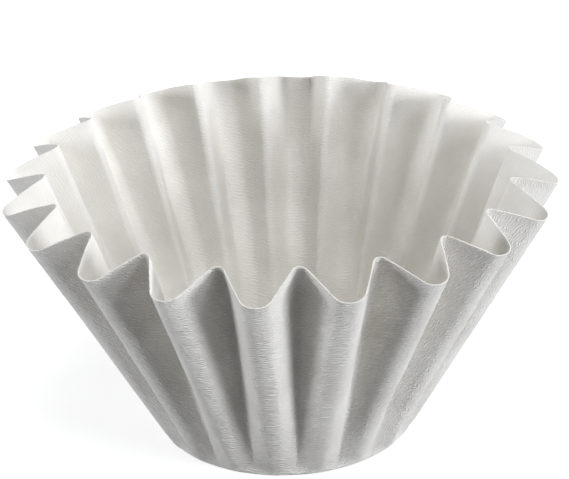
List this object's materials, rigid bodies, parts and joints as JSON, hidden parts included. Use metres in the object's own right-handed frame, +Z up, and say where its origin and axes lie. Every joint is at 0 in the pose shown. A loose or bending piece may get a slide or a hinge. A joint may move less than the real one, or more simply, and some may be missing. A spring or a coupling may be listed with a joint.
{
  "type": "paper coffee filter",
  "caption": "Flat-bottomed fluted paper cup, pressed from one round disc, that holds ground coffee while water drips through it.",
  "frame": {"origin": "centre of the flat base's underside, where the filter stands", "axes": "+Z up along the cup's axis towards the rim, +X towards the crest of one flute"},
  "size_m": [0.118, 0.118, 0.0603],
  "materials": {
    "filter_paper": "soft white creped filter paper, matt"
  },
  "bodies": {
    "root": {"filter_paper": "filter_paper"}
  },
  "joints": []
}
